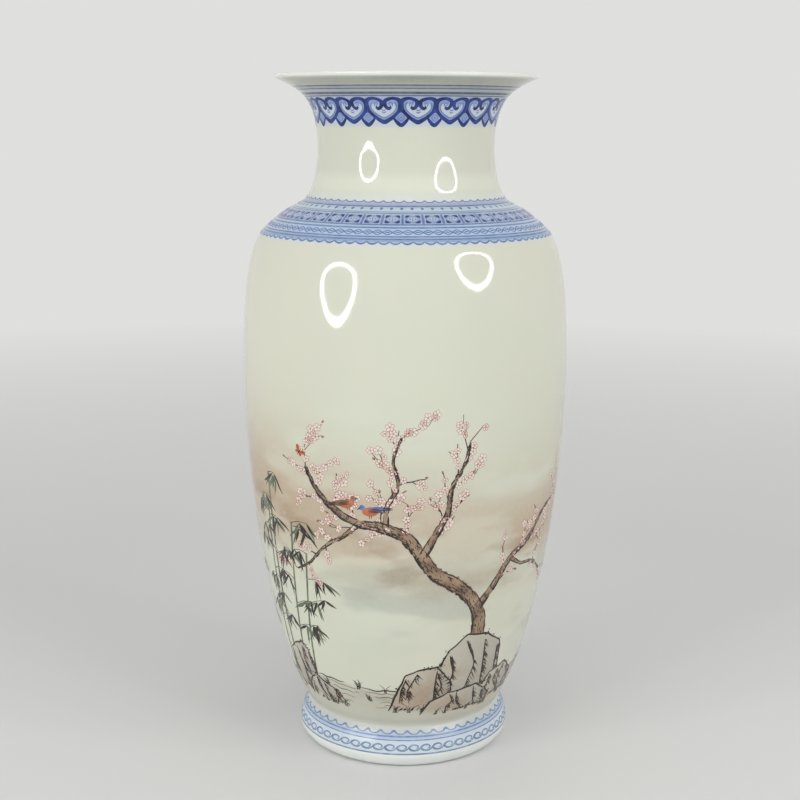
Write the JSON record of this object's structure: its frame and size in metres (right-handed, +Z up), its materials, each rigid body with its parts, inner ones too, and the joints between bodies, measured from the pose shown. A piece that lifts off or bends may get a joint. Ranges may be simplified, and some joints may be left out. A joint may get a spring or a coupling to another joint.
{
  "type": "waisted porcelain display vase",
  "caption": "Tall footed porcelain vase with a full tapering body, a waisted neck, a flared mouth and a spreading foot ring, for display or cut stems.",
  "frame": {"origin": "centre of the foot ring's resting face, on the table", "axes": "+Z up along the axis the vase is turned about; X and Y are alike, with -Y towards the viewer of the picture"},
  "size_m": [0.2028, 0.2028, 0.42],
  "materials": {
    "glazed_porcelain": "clear glossy glaze over white porcelain",
    "bare_porcelain": "unglazed fired porcelain, matt",
    "blue_painting": "cobalt blue lines and washes under the glaze",
    "enamel_painting": "thin painted enamels in ink black, earth brown, leaf green and iron red"
  },
  "bodies": {
    "root": {"foot_ring": "glazed_porcelain", "foot_luting_slip": "bare_porcelain", "lower_body": "glazed_porcelain", "belly_luting_slip": "bare_porcelain", "upper_body": "glazed_porcelain", "neck_luting_slip": "bare_porcelain", "mouth_and_neck": "glazed_porcelain"}
  },
  "joints": []
}
